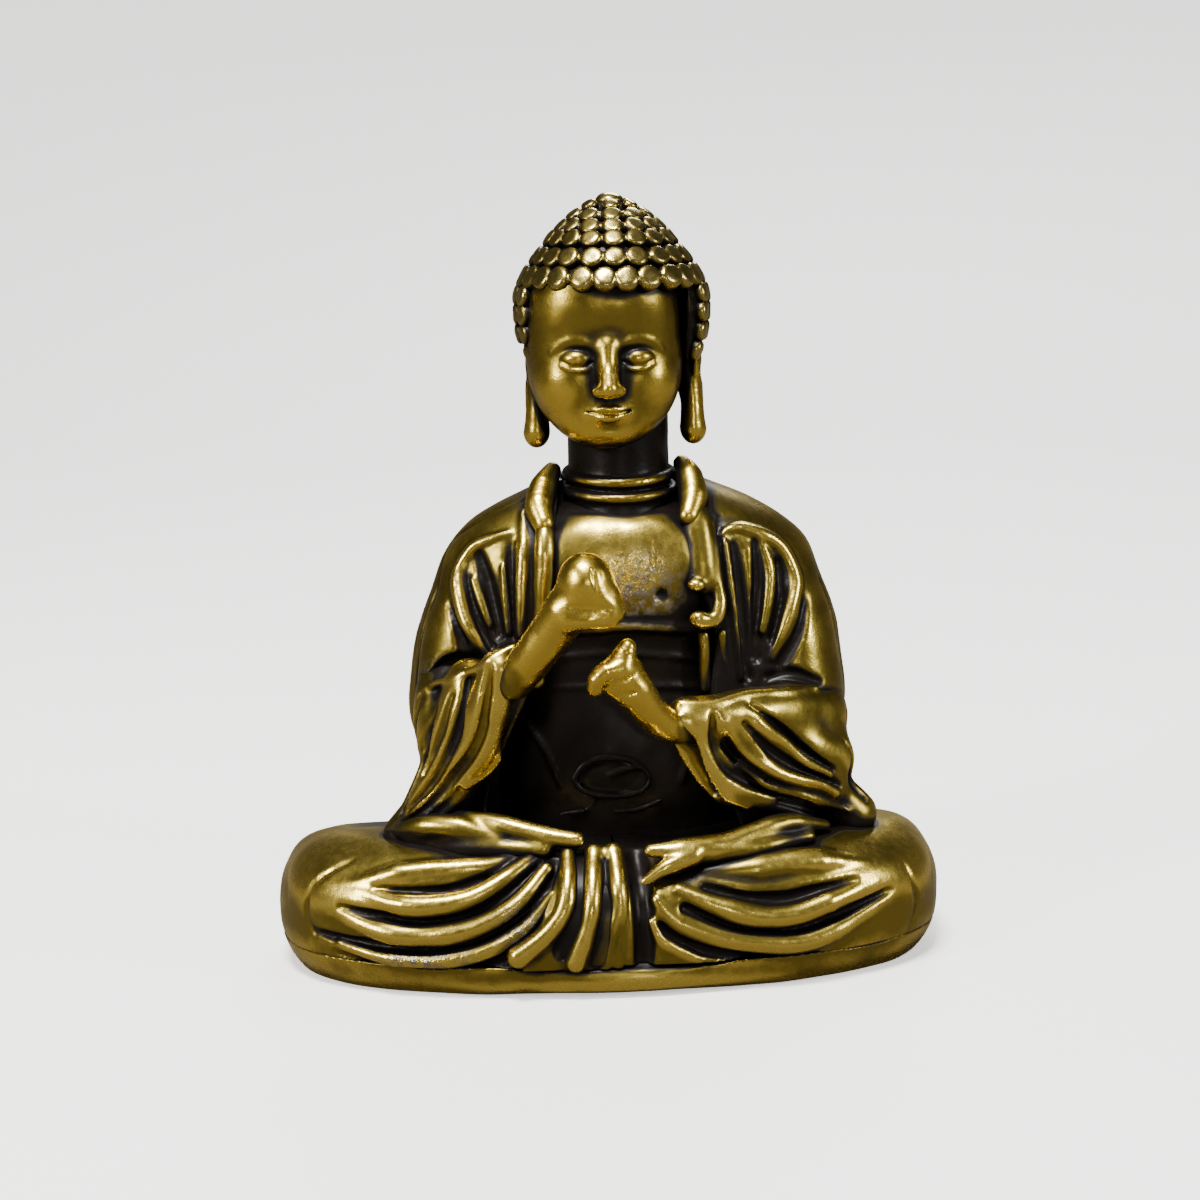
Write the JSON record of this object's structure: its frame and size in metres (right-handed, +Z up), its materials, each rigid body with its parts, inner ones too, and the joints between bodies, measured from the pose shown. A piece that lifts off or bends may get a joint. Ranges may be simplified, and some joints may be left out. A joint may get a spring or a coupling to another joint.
{
  "type": "seated buddha statuette",
  "caption": "Small cast brass figure of a seated buddha with snail-curl hair, a draped robe and hands raised at the chest, on a rounded foot rim.",
  "frame": {"origin": "middle of the underside, on the surface the figure stands on", "axes": "+Z up through the head, -Y the way the figure faces, +X to its left hand side"},
  "size_m": [0.0342, 0.02, 0.0393],
  "materials": {
    "brass_body": "antiqued, satin high spots with black patina in the folds",
    "brass_skin": "antiqued, hand polished",
    "brass_hair": "antiqued, worn curl tips over black patina"
  },
  "bodies": {
    "root": {"seat_rim": "brass_body", "torso": "brass_body", "outer_robe": "brass_body", "front_drape": "brass_body", "left_leg": "brass_body", "right_leg": "brass_body", "left_neck_band": "brass_body", "right_neck_band": "brass_body", "left_sleeve": "brass_body", "right_sleeve": "brass_body", "left_lap_hem": "brass_body", "right_lap_hem": "brass_body", "sash_knot": "brass_body", "neck": "brass_skin", "head": "brass_skin", "left_ear": "brass_skin", "right_ear": "brass_skin", "left_hand": "brass_skin", "right_hand": "brass_skin", "left_collar_flap": "brass_skin", "right_collar_flap": "brass_skin", "hair_cap": "brass_hair", "crown_curl": "brass_hair", "curl_row_1": "brass_hair", "curl_row_2": "brass_hair", "curl_row_3": "brass_hair", "curl_row_4": "brass_hair", "curl_row_5": "brass_hair", "curl_row_6": "brass_hair", "curl_row_7": "brass_hair", "curl_row_8": "brass_hair", "curl_row_9": "brass_hair"}
  },
  "joints": []
}
